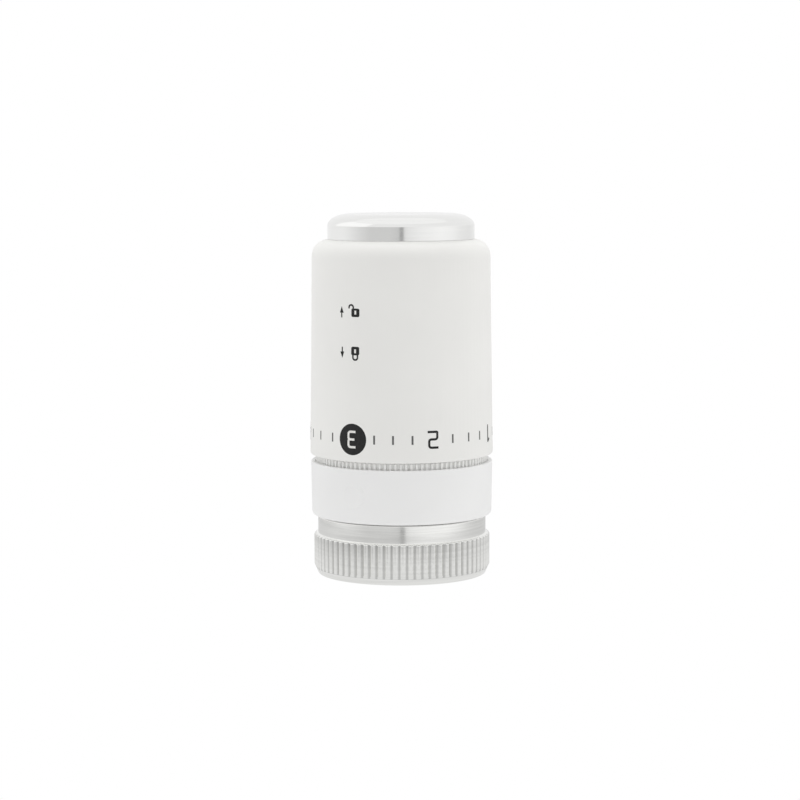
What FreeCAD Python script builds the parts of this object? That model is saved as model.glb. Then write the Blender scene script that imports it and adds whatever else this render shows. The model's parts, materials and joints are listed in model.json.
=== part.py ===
import FreeCAD, Part
import math
import os

# Thermostatic radiator valve head with a liquid sensor, a push-to-lock dial and a union nut.
# Millimetres, +Z up along the head's axis, origin at the centre of the nut's open end.
# At rest the dial stands at 3, raised and unlocked, and the index on the base ring faces -Y.
# Profiles are (radius, height) outlines turned about +Z. A third number rounds that corner.

# Driving dimensions: the dial and its cap
DIAL_BOTTOM = 25.65
DIAL_TOP = 71.4
DIAL_FOOT_RADIUS = 19.52
DIAL_WAIST_RADIUS = 19.20
DIAL_WAIST_HEIGHT = 49.0
DIAL_CROWN_RADIUS = 19.00
DIAL_SHOULDER = 4.8
DIAL_FOOT_ROUND = 0.6
DIAL_BORE = 17.4
DIAL_PLATE = 1.6
DIAL_MOUTH = 14.6
CAP_TOP = 76.8
CAP_RADIUS = 15.65
CAP_EDGE = 2.3
CAP_PLATE = 1.5

# Driving dimensions: push-to-lock teeth and the turning range, whose ends are whole teeth
LOCK_TRAVEL = 1.3
LOCK_TEETH = 104
LOCK_CREST = 18.40
LOCK_ROOT = 17.95
LOCK_FLANGE_BOTTOM = 22.7
LOCK_FLANGE_TOP = DIAL_BOTTOM - 0.15
LOCK_CLEARANCE = 0.10
CLOSING_TEETH = 52
OPENING_TEETH = 30
DEGREES_PER_TOOTH = 360.0 / LOCK_TEETH

# Driving dimensions: the base ring and the socket that sits on the valve
BASE_BOTTOM = 12.70
BASE_TOP = DIAL_BOTTOM - LOCK_TRAVEL - 0.15
BASE_FOOT_RADIUS = 19.22
BASE_CROWN_RADIUS = 19.40
BASE_BORE = 17.0
SEAT_HEIGHT = 8.6
SOCKET_RADIUS = 12.4
SOCKET_BORE = 10.5
FLANGE_BOTTOM = 13.2
FLANGE_TOP = 15.2
FLANGE_RADIUS = 16.95
FLOOR_BOTTOM = 22.0
FLOOR_TOP = 24.0

# Driving dimensions: the union nut, M30 x 1.5
NUT_TOP = 12.50
NUT_KNURL_RADIUS = 18.82
NUT_GROOVE_RADIUS = 18.42
NUT_NECK_RADIUS = 17.96
NUT_FLUTES = 72
THREAD_MAJOR = 15.0
THREAD_MINOR = 14.19
THREAD_PITCH = 1.5
THREAD_START = 0.9
THREAD_END = 8.5
THREAD_GROOVES = 5

# Driving dimensions: the coarse two-start thread that lifts the sensor, and its tower
SETTING_LEAD = 5.2
SETTING_STARTS = 2
SETTING_TURNS = 2
SETTING_BOTTOM = 31.0
SETTING_PITCH = SETTING_LEAD / SETTING_STARTS
TOWER_RADIUS = 15.2
TOWER_BORE = 14.0
TOWER_TOP = 46.0
HOLDER_RADIUS = 12.9
HOLDER_BORE = 11.4
HOLDER_BOTTOM = 30.0
HOLDER_TOP = 69.0
RIDGE_DEPTH = 0.9

# Driving dimensions: the turning sleeve between the tower and the dial
SLEEVE_BOTTOM = 17.6
SLEEVE_TOP = 62.0
SLEEVE_BORE = 15.3
SLEEVE_RADIUS = 17.3
COLLAR_BOTTOM = 46.4
COLLAR_BORE = 13.3
KEY_COUNT = 8
RIB_COUNT = 3

# Driving dimensions: the sensor, the spring cage and the thrust pin
SENSOR_BOTTOM = 44.0
SENSOR_TOP = 66.4
SENSOR_RADIUS = 11.2
SENSOR_WALL = 0.8
BELLOWS_BOTTOM = 44.8
BELLOWS_TOP = 60.1
BELLOWS_FOLDS = 9
CAGE_BOTTOM = 31.2
CAGE_TOP = 42.4
CAGE_RADIUS = 7.7
CAGE_BORE = 6.9
PIN_TIP = 20.8
PIN_RADIUS = 3.0
PIN_FLANGE_BOTTOM = 32.4
PIN_FLANGE_TOP = 33.6

ORIGIN = FreeCAD.Vector(0, 0, 0)
UP = FreeCAD.Vector(0, 0, 1)
VIA = "via"
FRONT = -90.0
BEYOND = 40.0


def upright(radius, height):
    """Point of the half-plane that the profiles are drawn in."""
    return FreeCAD.Vector(radius, 0, height)


def corner_arc(before, corner, after, radius):
    """Start, middle and end of the arc that rounds one corner of an outline."""
    arm_in = (before - corner).normalize()
    arm_out = (after - corner).normalize()
    half_angle = arm_in.getAngle(arm_out) / 2
    reach = radius / math.tan(half_angle)
    bisector = (arm_in + arm_out).normalize()
    middle = corner + bisector * (radius / math.sin(half_angle) - radius)
    return corner + arm_in * reach, middle, corner + arm_out * reach


def outline(corners):
    """Closed wire through the corners; a corner marked VIA is the middle of an arc."""
    points = [upright(corner[0], corner[1]) for corner in corners]
    marks = [corner[2] if len(corner) == 3 else 0 for corner in corners]
    count = len(corners)
    knots = []
    for index in range(count):
        if marks[index] in (0, VIA):
            knots.append((points[index], None, points[index]))
        else:
            knots.append(corner_arc(points[index - 1], points[index],
                                    points[(index + 1) % count], marks[index]))
    edges = []
    for index in range(count):
        following = (index + 1) % count
        start, middle, end = knots[index]
        if marks[index] == VIA:
            edges.append(Part.Arc(knots[index - 1][2], start, knots[following][0]).toShape())
            continue
        if middle is not None:
            edges.append(Part.Arc(start, middle, end).toShape())
        if marks[following] != VIA and end.distanceToPoint(knots[following][0]) > 1e-6:
            edges.append(Part.LineSegment(end, knots[following][0]).toShape())
    return Part.Wire(edges)


def turned(corners):
    """Solid of revolution about +Z."""
    return Part.Face(outline(corners)).revolve(ORIGIN, UP, 360)


def tube(inner, outer, bottom, top):
    """Plain ring, or a disc where the inner radius is 0."""
    return turned([(inner, bottom), (outer, bottom), (outer, top), (inner, top)])


def sector(inner, outer, bottom, top, middle_angle, width_angle):
    """Piece of a ring that is width_angle degrees wide about middle_angle."""
    face = Part.Face(outline([(inner, bottom), (outer, bottom), (outer, top), (inner, top)]))
    face.rotate(ORIGIN, UP, middle_angle - width_angle / 2)
    return face.revolve(ORIGIN, UP, width_angle)


def spoke(inner, outer, width, bottom, top, angle):
    """Straight-sided bar that points outwards at an angle."""
    bar = Part.makeBox(outer - inner, width, top - bottom, FreeCAD.Vector(inner, -width / 2, bottom))
    bar.rotate(ORIGIN, UP, angle)
    return bar


def spokes(count, inner, outer, width, bottom, top):
    """Equally spaced bars, the first of them at the front."""
    step = 360.0 / count
    return [spoke(inner, outer, width, bottom, top, FRONT + step * index) for index in range(count)]


def split_ring(inner, outer, bottom, top, gap_angle, gap_middle):
    """Snap ring: a flat ring with a gap to spring through."""
    return tube(inner, outer, bottom, top).cut(
        sector(inner / 2, outer + 1, bottom - 1, top + 1, gap_middle, gap_angle))


def toothed_prism(count, low, high, low_share, high_share, bottom, top):
    """Prism with straight-flanked teeth; the shares are of the tooth pitch at each radius."""
    pitch = 2 * math.pi / count
    section = []
    for tooth in range(count):
        corners = ((low, -low_share), (high, -high_share), (high, high_share), (low, low_share))
        for radius, share in corners:
            angle = math.radians(FRONT) + pitch * (tooth + share / 2)
            section.append(FreeCAD.Vector(radius * math.cos(angle), radius * math.sin(angle), bottom))
    section.append(section[0])
    return Part.Face(Part.makePolygon(section)).extrude(UP * (top - bottom))


def fluted_prism(count, crest, root, bottom, top):
    """Prism with rounded grooves between flat-topped ridges, each half of the pitch wide."""
    pitch = 2 * math.pi / count
    edges = []
    for flute in range(count):
        middle = pitch * flute
        points = []
        for radius, share in ((crest, -0.25), (root, 0.0), (crest, 0.25), (crest, 0.75)):
            angle = middle + pitch * share
            points.append(FreeCAD.Vector(radius * math.cos(angle), radius * math.sin(angle), bottom))
        edges.append(Part.Arc(points[0], points[1], points[2]).toShape())
        edges.append(Part.LineSegment(points[2], points[3]).toShape())
    return Part.Face(Part.Wire(edges)).extrude(UP * (top - bottom))


def helical_ridge(base_radius, crest_radius, base_width, crest_width, bottom, start_angle):
    """One start of the setting thread, a trapezium swept along a right-hand helix."""
    helix = Part.makeHelix(SETTING_LEAD, SETTING_LEAD * SETTING_TURNS, base_radius)
    section = Part.makePolygon([
        upright(base_radius, -base_width / 2),
        upright(crest_radius, -crest_width / 2),
        upright(crest_radius, crest_width / 2),
        upright(base_radius, base_width / 2),
        upright(base_radius, -base_width / 2)])
    ridge = Part.Wire(helix.Edges).makePipeShell([section], True, True)
    ridge.rotate(ORIGIN, UP, start_angle)
    ridge.translate(UP * bottom)
    return ridge


def helical_ridges(base_radius, crest_radius, bottom):
    """Both starts of the setting thread, begun clear of the seams of the turned faces."""
    base_width = 1.2
    crest_width = 0.8
    first_start = 45.0
    starts = [first_start + 360.0 / SETTING_STARTS * start for start in range(SETTING_STARTS)]
    return [helical_ridge(base_radius, crest_radius, base_width, crest_width, bottom, start)
            for start in starts]


def union_nut():
    """Chromed brass nut that draws the head down on to the valve's threaded collar."""
    groove_width = THREAD_PITCH * 3 / 4
    groove_floor = THREAD_PITCH / 8
    flank = (groove_width - groove_floor) / 2
    first_groove = THREAD_START + 0.3
    bore = []
    for turn in range(THREAD_GROOVES):
        low = first_groove + THREAD_PITCH * turn
        bore += [(THREAD_MINOR, low), (THREAD_MAJOR, low + flank),
                 (THREAD_MAJOR, low + flank + groove_floor), (THREAD_MINOR, low + groove_width)]
    relief = THREAD_MAJOR + 0.2
    lip_bottom = 11.0
    lip_bore = SOCKET_RADIUS + 0.1
    skin = [(lip_bore, lip_bottom), (lip_bore, NUT_TOP), (NUT_NECK_RADIUS, NUT_TOP, 0.25),
            (NUT_NECK_RADIUS, 9.0, 0.3), (NUT_KNURL_RADIUS - 0.25, 8.35, 0.2), (NUT_KNURL_RADIUS, 8.0),
            (NUT_KNURL_RADIUS, 1.95, 0.3), (17.76, 0.0, 0.25), (relief, 0.0)]
    mouth = [(THREAD_MINOR, THREAD_START)]
    shelf = [(THREAD_MINOR, THREAD_END), (relief, THREAD_END + 0.4), (relief, lip_bottom)]
    body = turned(mouth + bore + shelf + skin)
    flutes = fluted_prism(NUT_FLUTES, NUT_KNURL_RADIUS + 0.02, NUT_GROOVE_RADIUS, -1, NUT_TOP + 1)
    return body.common(flutes)


def nut_snap_ring():
    """Sprung ring in the socket's groove that carries the nut's inner lip."""
    return split_ring(11.95, 13.6, 9.25, 10.75, 40, FRONT)


def valve_socket():
    """Metal socket: its lower end sits on the valve, and its flange carries the head."""
    rebate = 15.9
    return turned([
        (SOCKET_BORE, SEAT_HEIGHT, 0.2), (SOCKET_RADIUS, SEAT_HEIGHT, 0.2),
        (SOCKET_RADIUS, 9.15), (11.9, 9.15), (11.9, 10.85), (SOCKET_RADIUS, 10.85),
        (SOCKET_RADIUS, FLANGE_BOTTOM), (rebate, FLANGE_BOTTOM), (rebate, FLANGE_BOTTOM + 1.0),
        (FLANGE_RADIUS, FLANGE_BOTTOM + 1.0), (FLANGE_RADIUS, FLANGE_TOP), (SOCKET_RADIUS, FLANGE_TOP),
        (SOCKET_RADIUS, FLOOR_TOP, 0.5), (4.5, FLOOR_TOP), (4.5, FLOOR_BOTTOM),
        (SOCKET_BORE, FLOOR_BOTTOM, 0.5)])


def guide_bush():
    """Headed bush in the socket's floor that guides the thrust pin."""
    bore = PIN_RADIUS + 0.05
    return turned([(bore, FLOOR_BOTTOM - 0.6), (5.4, FLOOR_BOTTOM - 0.6), (5.4, FLOOR_BOTTOM),
                   (4.5, FLOOR_BOTTOM), (4.5, 26.0, 0.3), (bore, 26.0)])


def range_stop_angles():
    """Widths of the sleeve's lug and the tower's block, and the block's place from the lug."""
    free_play = 0.4
    closing = CLOSING_TEETH * DEGREES_PER_TOOTH
    opening = OPENING_TEETH * DEGREES_PER_TOOTH
    shared = 360.0 - closing - opening - free_play
    return shared * 0.45, shared * 0.55, (360.0 - closing + opening) / 2


def threaded_tower():
    """Fixed tower on the socket, with the setting thread inside and the range stop at its foot."""
    block_width, block_place = range_stop_angles()[1:]
    wall = turned([
        (SOCKET_RADIUS, FLANGE_TOP), (TOWER_RADIUS, FLANGE_TOP), (TOWER_RADIUS, 41.85), (14.7, 41.85),
        (14.7, 43.15), (TOWER_RADIUS, 43.15), (TOWER_RADIUS, TOWER_TOP, 0.3), (TOWER_BORE, TOWER_TOP),
        (TOWER_BORE, 17.0), (SOCKET_RADIUS, 17.0)])
    block = sector(TOWER_RADIUS - 0.3, 16.7, FLANGE_TOP, 17.2, FRONT + block_place, block_width)
    ridges = helical_ridges(TOWER_BORE + 0.3, TOWER_BORE - RIDGE_DEPTH, SETTING_BOTTOM + SETTING_PITCH / 2)
    return wall.fuse([block] + ridges).removeSplitter()


def base_ring():
    """White ring under the dial that carries the index; its foot hooks under the socket's flange."""
    lock_seat = LOCK_FLANGE_BOTTOM - 2.9
    return turned([
        (16.0, BASE_BOTTOM), (BASE_FOOT_RADIUS, BASE_BOTTOM, 0.8), (BASE_CROWN_RADIUS, BASE_TOP, 0.2),
        (LOCK_CREST + LOCK_CLEARANCE, BASE_TOP), (LOCK_CREST + LOCK_CLEARANCE, LOCK_FLANGE_BOTTOM - 0.1),
        (17.65, LOCK_FLANGE_BOTTOM - 0.1), (17.65, lock_seat), (BASE_BORE, lock_seat),
        (BASE_BORE, FLANGE_TOP + 0.6), (BASE_BORE - 0.15, FLANGE_TOP + 0.35), (BASE_BORE, FLANGE_TOP + 0.1),
        (BASE_BORE, FLANGE_BOTTOM + 0.95), (16.0, FLANGE_BOTTOM + 0.95)])


def index_mark():
    """Low round boss on the base ring that the dial's numbers are read against."""
    height = 18.6
    boss_radius = 2.7
    proud_radius = 19.42
    boss = Part.makeCylinder(boss_radius, BEYOND, FreeCAD.Vector(0, 0, height), FreeCAD.Vector(0, -1, 0))
    skin = turned([(BASE_FOOT_RADIUS, BASE_BOTTOM), (proud_radius, BASE_BOTTOM),
                   (proud_radius, BASE_TOP), (BASE_CROWN_RADIUS, BASE_TOP)])
    return boss.common(skin)


def lock_ring():
    """Toothed ring held in the base ring; the dial's teeth drop over it when pushed down."""
    seat = LOCK_FLANGE_BOTTOM - 2.85
    inner = 16.7
    body = tube(inner, 17.6, seat, LOCK_FLANGE_BOTTOM)
    teeth = toothed_prism(LOCK_TEETH, LOCK_ROOT, LOCK_CREST, 0.60, 0.36,
                          LOCK_FLANGE_BOTTOM, LOCK_FLANGE_TOP)
    bore = tube(0, inner, LOCK_FLANGE_BOTTOM - 1, LOCK_FLANGE_TOP + 1)
    return body.fuse(teeth.cut(bore)).removeSplitter()


def dial():
    """Hollow hand wheel with keys inside that slide in the sleeve's grooves, and teeth at its foot."""
    top_edge = CAP_RADIUS - 0.05
    sweep = math.acos((top_edge - DIAL_CROWN_RADIUS + DIAL_SHOULDER) / DIAL_SHOULDER)
    shoulder_centre = (DIAL_CROWN_RADIUS - DIAL_SHOULDER, DIAL_TOP - DIAL_SHOULDER * math.sin(sweep))
    shoulder_middle = (shoulder_centre[0] + DIAL_SHOULDER * math.cos(sweep / 2),
                       shoulder_centre[1] + DIAL_SHOULDER * math.sin(sweep / 2), VIA)
    foot_centre = (DIAL_FOOT_RADIUS - DIAL_FOOT_ROUND, DIAL_BOTTOM + DIAL_FOOT_ROUND)
    foot_reach = DIAL_FOOT_ROUND * math.sqrt(0.5)
    teeth_top = 27.5
    ring_groove_bottom = 58.55
    ring_groove_top = ring_groove_bottom + LOCK_TRAVEL + 1.3
    shell = turned([
        (LOCK_ROOT - 0.05, DIAL_BOTTOM), (foot_centre[0], DIAL_BOTTOM),
        (foot_centre[0] + foot_reach, foot_centre[1] - foot_reach, VIA), (DIAL_FOOT_RADIUS, foot_centre[1]),
        (DIAL_WAIST_RADIUS, DIAL_WAIST_HEIGHT, VIA), (DIAL_CROWN_RADIUS, shoulder_centre[1]),
        shoulder_middle, (top_edge, DIAL_TOP), (DIAL_MOUTH, DIAL_TOP),
        (DIAL_MOUTH, DIAL_TOP - DIAL_PLATE), (DIAL_MOUTH + 0.8, DIAL_TOP - DIAL_PLATE),
        (DIAL_BORE, DIAL_TOP - 2 * DIAL_PLATE - 0.4, 1.2), (DIAL_BORE, ring_groove_top),
        (17.95, ring_groove_top),
        (17.95, ring_groove_bottom), (DIAL_BORE, ring_groove_bottom), (DIAL_BORE, teeth_top + 0.55),
        (LOCK_ROOT - 0.05, teeth_top)])
    keys = spokes(KEY_COUNT, 16.75, DIAL_BORE + 0.3, 2.2, 28.5, 57.0)
    bite = toothed_prism(LOCK_TEETH, LOCK_ROOT + LOCK_CLEARANCE, LOCK_CREST + LOCK_CLEARANCE,
                         0.79, 0.58, DIAL_BOTTOM - 1, teeth_top)
    return shell.fuse(keys).cut(bite).removeSplitter()


def top_cap():
    """Chromed cap with a skirt and four hooks that snap under the dial's top plate."""
    skirt_bore = 13.2
    skirt_radius = DIAL_MOUTH - 0.1
    skirt_bottom = DIAL_TOP - 4.4
    hook_top = DIAL_TOP - DIAL_PLATE - 0.1
    lid = turned([
        (0, CAP_TOP), (0, CAP_TOP - CAP_PLATE), (skirt_bore, CAP_TOP - CAP_PLATE, 0.5),
        (skirt_bore, skirt_bottom), (skirt_radius, skirt_bottom, 0.4), (skirt_radius, DIAL_TOP),
        (CAP_RADIUS, DIAL_TOP), (CAP_RADIUS, CAP_TOP, CAP_EDGE)])
    hooks = [sector(skirt_radius - 0.4, skirt_radius + 0.6, hook_top - 1.4, hook_top, 45 + 90 * index, 20)
             for index in range(4)]
    return lid.fuse(hooks).removeSplitter()


def drive_sleeve():
    """Sleeve that the dial turns: it runs on the tower and turns the sensor holder."""
    lug_width = range_stop_angles()[0]
    body = turned([
        (SLEEVE_BORE, SLEEVE_BOTTOM), (16.4, SLEEVE_BOTTOM), (16.4, 27.0), (SLEEVE_RADIUS, 27.4),
        (SLEEVE_RADIUS, 58.6), (15.6, 58.6), (15.6, 59.8), (SLEEVE_RADIUS, 59.8),
        (SLEEVE_RADIUS, SLEEVE_TOP, 0.4), (COLLAR_BORE, SLEEVE_TOP), (COLLAR_BORE, COLLAR_BOTTOM),
        (SLEEVE_BORE, COLLAR_BOTTOM), (SLEEVE_BORE, 43.1), (15.65, 43.1), (15.65, 41.9), (SLEEVE_BORE, 41.9)])
    lug = sector(SLEEVE_BORE + 0.1, 16.4, FLANGE_TOP + 0.3, SLEEVE_BOTTOM + 0.2, FRONT, lug_width)
    key_grooves = spokes(KEY_COUNT, 16.55, 18.0, 2.6, 26.9, SLEEVE_TOP + 1)
    rib_slots = spokes(RIB_COUNT, 12.0, 14.8, 3.2, COLLAR_BOTTOM - 0.5, SLEEVE_TOP + 1)
    return body.fuse(lug).cut(key_grooves + rib_slots).removeSplitter()


def sleeve_clip():
    """Split ring in the sleeve that runs in the tower's groove and stops the sleeve lifting off."""
    return split_ring(14.8, 15.6, 42.0, 43.0, 30, 90)


def dial_stop_ring():
    """Split ring on the sleeve that keeps the dial on and ends its push-to-lock travel."""
    return split_ring(15.9, 17.75, 58.65, 59.75, 24, 90)


def sensor_holder():
    """Threaded cup that carries the sensor up and down as the dial turns."""
    guide_bore = CAGE_RADIUS + 0.1
    guide_radius = 9.0
    guide_bottom = 36.0
    shelf_bottom = 42.4
    cup = turned([
        (HOLDER_BORE, HOLDER_BOTTOM), (HOLDER_RADIUS, HOLDER_BOTTOM, 0.3), (HOLDER_RADIUS, HOLDER_TOP, 0.3),
        (HOLDER_BORE, HOLDER_TOP), (HOLDER_BORE, 67.6), (11.9, 67.6), (11.9, 66.5), (HOLDER_BORE, 66.5),
        (HOLDER_BORE, SENSOR_BOTTOM), (guide_bore, SENSOR_BOTTOM), (guide_bore, guide_bottom),
        (guide_radius, guide_bottom), (guide_radius, shelf_bottom), (HOLDER_BORE, shelf_bottom)])
    ribs = spokes(RIB_COUNT, HOLDER_RADIUS - 0.4, 14.4, 2.8, 50.0, 57.0)
    ridges = helical_ridges(HOLDER_RADIUS - 0.3, HOLDER_RADIUS + RIDGE_DEPTH, SETTING_BOTTOM)
    return cup.fuse(ribs + ridges).removeSplitter()


def sensor_shell():
    """Drawn brass can that holds the sensor's liquid."""
    return turned([
        (SENSOR_RADIUS, BELLOWS_BOTTOM), (SENSOR_RADIUS, SENSOR_TOP, 1.4), (1.5, SENSOR_TOP),
        (1.5, SENSOR_TOP - SENSOR_WALL), (SENSOR_RADIUS - SENSOR_WALL, SENSOR_TOP - SENSOR_WALL, 0.6),
        (SENSOR_RADIUS - SENSOR_WALL, BELLOWS_BOTTOM)])


def sensor_base():
    """Ring that closes the can round the bellows' foot."""
    return tube(6.9, SENSOR_RADIUS, SENSOR_BOTTOM, BELLOWS_BOTTOM)


def fill_plug():
    """Plug that seals the can after filling."""
    return turned([(0, SENSOR_TOP - 1.2), (1.5, SENSOR_TOP - 1.2), (1.5, SENSOR_TOP),
                   (2.6, SENSOR_TOP), (2.6, SENSOR_TOP + 0.7, 0.3), (0, SENSOR_TOP + 0.7)])


def sensor_bellows():
    """Corrugated cup inside the can; the liquid squeezes it and it pushes the piston down."""
    fold_low = 6.0
    fold_high = 7.6
    wall = 0.35
    first_fold = BELLOWS_BOTTOM + 0.5
    last_fold = BELLOWS_TOP - 0.8
    step = (last_fold - first_fold) / BELLOWS_FOLDS
    outside = []
    for fold in range(BELLOWS_FOLDS):
        valley = first_fold + step * fold
        outside += [(fold_low, valley), (fold_low, valley + step * 0.2),
                    (fold_high, valley + step * 0.5), (fold_high, valley + step * 0.7)]
    outside.append((fold_low, last_fold))
    inside = [(radius - wall, height) for radius, height in outside]
    foot = [(fold_low - wall, BELLOWS_BOTTOM), (9.5, BELLOWS_BOTTOM), (9.5, BELLOWS_BOTTOM + 0.3),
            (fold_low, BELLOWS_BOTTOM + 0.3)]
    crown = [(fold_low, BELLOWS_TOP), (0, BELLOWS_TOP), (0, BELLOWS_TOP - 0.5),
             (fold_low - wall, BELLOWS_TOP - 0.5)]
    return turned(foot + outside + crown + inside[::-1])


def sensor_retainer():
    """Split ring in the holder's mouth that takes the sensor's thrust."""
    return split_ring(10.0, 11.85, 66.5, 67.5, 40, FRONT)


def sensor_piston():
    """Rod between the bellows' crown and the spring cage."""
    return turned([(0, CAGE_TOP + 0.05), (4.5, CAGE_TOP + 0.05), (4.5, CAGE_TOP + 1.2, 0.3),
                   (2.5, CAGE_TOP + 1.2), (2.5, BELLOWS_TOP - 0.7, 0.4), (0, BELLOWS_TOP - 0.7)])


def spring_cage():
    """Cup that holds the overtravel spring and runs in the sensor holder's guide."""
    return turned([
        (CAGE_BORE, CAGE_BOTTOM), (CAGE_RADIUS, CAGE_BOTTOM, 0.25), (CAGE_RADIUS, CAGE_TOP, 0.3),
        (0, CAGE_TOP), (0, CAGE_TOP - 1.2), (CAGE_BORE, CAGE_TOP - 1.2), (CAGE_BORE, 32.4),
        (7.3, 32.4), (7.3, 31.5), (CAGE_BORE, 31.5)])


def cage_clip():
    """Split ring that keeps the thrust pin's flange in the cage."""
    return split_ring(4.8, 7.25, 31.55, 32.3, 60, FRONT)


def overtravel_spring():
    """Coil spring that gives when the valve is shut and the sensor still expands."""
    coil_radius = 5.6
    wire_radius = 0.5
    turns = 4.5
    low = PIN_FLANGE_TOP + wire_radius + 0.05
    high = CAGE_TOP - 1.2 - wire_radius - 0.05
    helix = Part.makeHelix((high - low) / turns, high - low, coil_radius)
    inner, outer = upright(coil_radius - wire_radius, 0), upright(coil_radius + wire_radius, 0)
    upper, lower = upright(coil_radius, wire_radius), upright(coil_radius, -wire_radius)
    section = Part.Wire([Part.Arc(inner, upper, outer).toShape(), Part.Arc(outer, lower, inner).toShape()])
    coil = Part.Wire(helix.Edges).makePipeShell([section], True, True)
    coil.translate(UP * low)
    return coil


def thrust_pin():
    """Headed pin that presses on the valve's own spindle."""
    return turned([
        (0, PIN_TIP), (PIN_RADIUS, PIN_TIP, 0.6), (PIN_RADIUS, PIN_FLANGE_BOTTOM),
        (6.6, PIN_FLANGE_BOTTOM), (6.6, PIN_FLANGE_TOP, 0.3), (3.6, PIN_FLANGE_TOP),
        (3.6, 36.0, 0.6), (0, 36.0)])


PIECES = (
    union_nut, nut_snap_ring, valve_socket, guide_bush, threaded_tower, base_ring, index_mark, lock_ring,
    dial, top_cap, drive_sleeve, sleeve_clip, dial_stop_ring, sensor_holder, sensor_shell, sensor_base,
    fill_plug, sensor_bellows, sensor_retainer, sensor_piston, spring_cage, cage_clip, overtravel_spring,
    thrust_pin)


def main():
    """Write one STEP file for each piece of the head."""
    os.makedirs("parts", exist_ok=True)
    for piece in PIECES:
        solid = piece().Solids[0]
        solid.exportStep("parts/" + piece.__name__ + ".step")
        print(piece.__name__, solid.isValid(), round(solid.Volume, 1))


main()
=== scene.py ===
import json
import math

import bmesh
import bpy
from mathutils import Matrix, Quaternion, Vector


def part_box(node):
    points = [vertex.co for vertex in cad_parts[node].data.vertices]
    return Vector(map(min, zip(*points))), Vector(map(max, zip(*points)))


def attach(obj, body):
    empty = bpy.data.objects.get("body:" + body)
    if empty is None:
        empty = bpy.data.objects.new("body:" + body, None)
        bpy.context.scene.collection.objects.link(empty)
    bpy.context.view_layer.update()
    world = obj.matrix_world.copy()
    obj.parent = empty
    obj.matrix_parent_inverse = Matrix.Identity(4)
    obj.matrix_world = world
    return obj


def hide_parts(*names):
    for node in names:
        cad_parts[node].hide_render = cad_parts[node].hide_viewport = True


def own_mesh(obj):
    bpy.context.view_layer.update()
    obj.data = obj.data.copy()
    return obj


# Thermostatic radiator valve head: its mouldings, turned metal, printed marks, finishes and light.
# Outlines and places on the object are in millimetres, and make_piece turns them into metres.
# The studio and the camera are in metres.
# Angles on the object start at the index mark at -Y and run towards +X.
# Outlines are (radius, height) points, and a third number rounds that corner.

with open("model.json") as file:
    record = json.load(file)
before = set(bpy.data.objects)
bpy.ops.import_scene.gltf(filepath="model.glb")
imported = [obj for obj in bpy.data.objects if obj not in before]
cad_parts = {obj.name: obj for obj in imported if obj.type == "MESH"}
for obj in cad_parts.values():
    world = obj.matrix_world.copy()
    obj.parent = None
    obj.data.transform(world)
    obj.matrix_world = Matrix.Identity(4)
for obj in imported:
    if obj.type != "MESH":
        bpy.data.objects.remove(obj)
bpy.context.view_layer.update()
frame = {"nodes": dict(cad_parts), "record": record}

MM = 0.001
TURN = 2 * math.pi


def span(node):
    """Bottom, top and outer radius of a CAD node, in millimetres."""
    low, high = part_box(node)
    return low.z / MM, high.z / MM, high.x / MM


# The cap
CAP_TOP = span("top_cap")[1]
CAP_RADIUS = 15.65
CAP_OVERHANG = 0.05
CAP_RIM_WIDTH = 4.8
CAP_RIM_DROP = 2.5
CAP_PLATE = 1.5
CAP_FLAT_INSIDE = 11.0
SKIRT_OUTSIDE = 14.5
SKIRT_INSIDE = 13.2
SKIRT_DEPTH = 4.4

# The dial's wall and shoulder; its shoulder runs in just under the cap's foot
DIAL_BOTTOM, DIAL_TOP, DIAL_FOOT_RADIUS = span("dial")
DIAL_TAPER = 0.52
DIAL_WAIST_DIP = 0.028
DIAL_FOOT_ROUND = 0.6
DIAL_WALL_START = 1.2
DIAL_SHOULDER = 3.6
DIAL_BORE = 17.4
DIAL_MOUTH = 14.6
DIAL_MOUTH_LEDGE = 0.8
DIAL_PLATE = 1.6
DIAL_INNER_CORNER = 3.6
SHOULDER_CENTRE = DIAL_FOOT_RADIUS - DIAL_TAPER - DIAL_SHOULDER
SHOULDER_SWEEP = math.acos((CAP_RADIUS - CAP_OVERHANG - SHOULDER_CENTRE) / DIAL_SHOULDER)
SHOULDER_START = DIAL_TOP - DIAL_SHOULDER * math.sin(SHOULDER_SWEEP)

# The dial's locking teeth, its driving keys and the groove for its stop ring
TOOTH_COUNT = 104
TOOTH_PITCH = TURN / TOOTH_COUNT
TOOTH_CORNERS = (-0.395, -0.29, 0.29, 0.395)
TOOTH_TIP = 18.05
TOOTH_ROOT = 18.50
TOOTH_TOP = 27.5
FOOT_FLAT = 18.7
TEETH_PER_KEY = 13
KEY_TIP = 16.75
KEY_BOTTOM = 28.5
KEY_TOP = 57.0
BORE_BOTTOM = 28.05
BORE_RELIEF = 17.9
STOP_GROOVE_RADIUS = 17.95
STOP_GROOVE_BOTTOM = 58.55
STOP_GROOVE_TOP = 61.15

# The base ring and its mark
RING_BOTTOM, RING_TOP, RING_CROWN_RADIUS = span("base_ring")
RING_TAPER = 0.18
RING_BORE = 17.0
RING_LIP = 16.0
RING_LIP_TOP = 14.15
RING_SEAT = 17.65
RING_SEAT_BOTTOM = 19.8
RING_SEAT_TOP = 22.6
RING_MOUTH = 18.5
BEAD_HEIGHT = 15.55
BEAD_HALF = 0.25
BEAD_TIP = 16.85
MARK_PROUD = 0.1
MARK_DISH = 0.02

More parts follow.
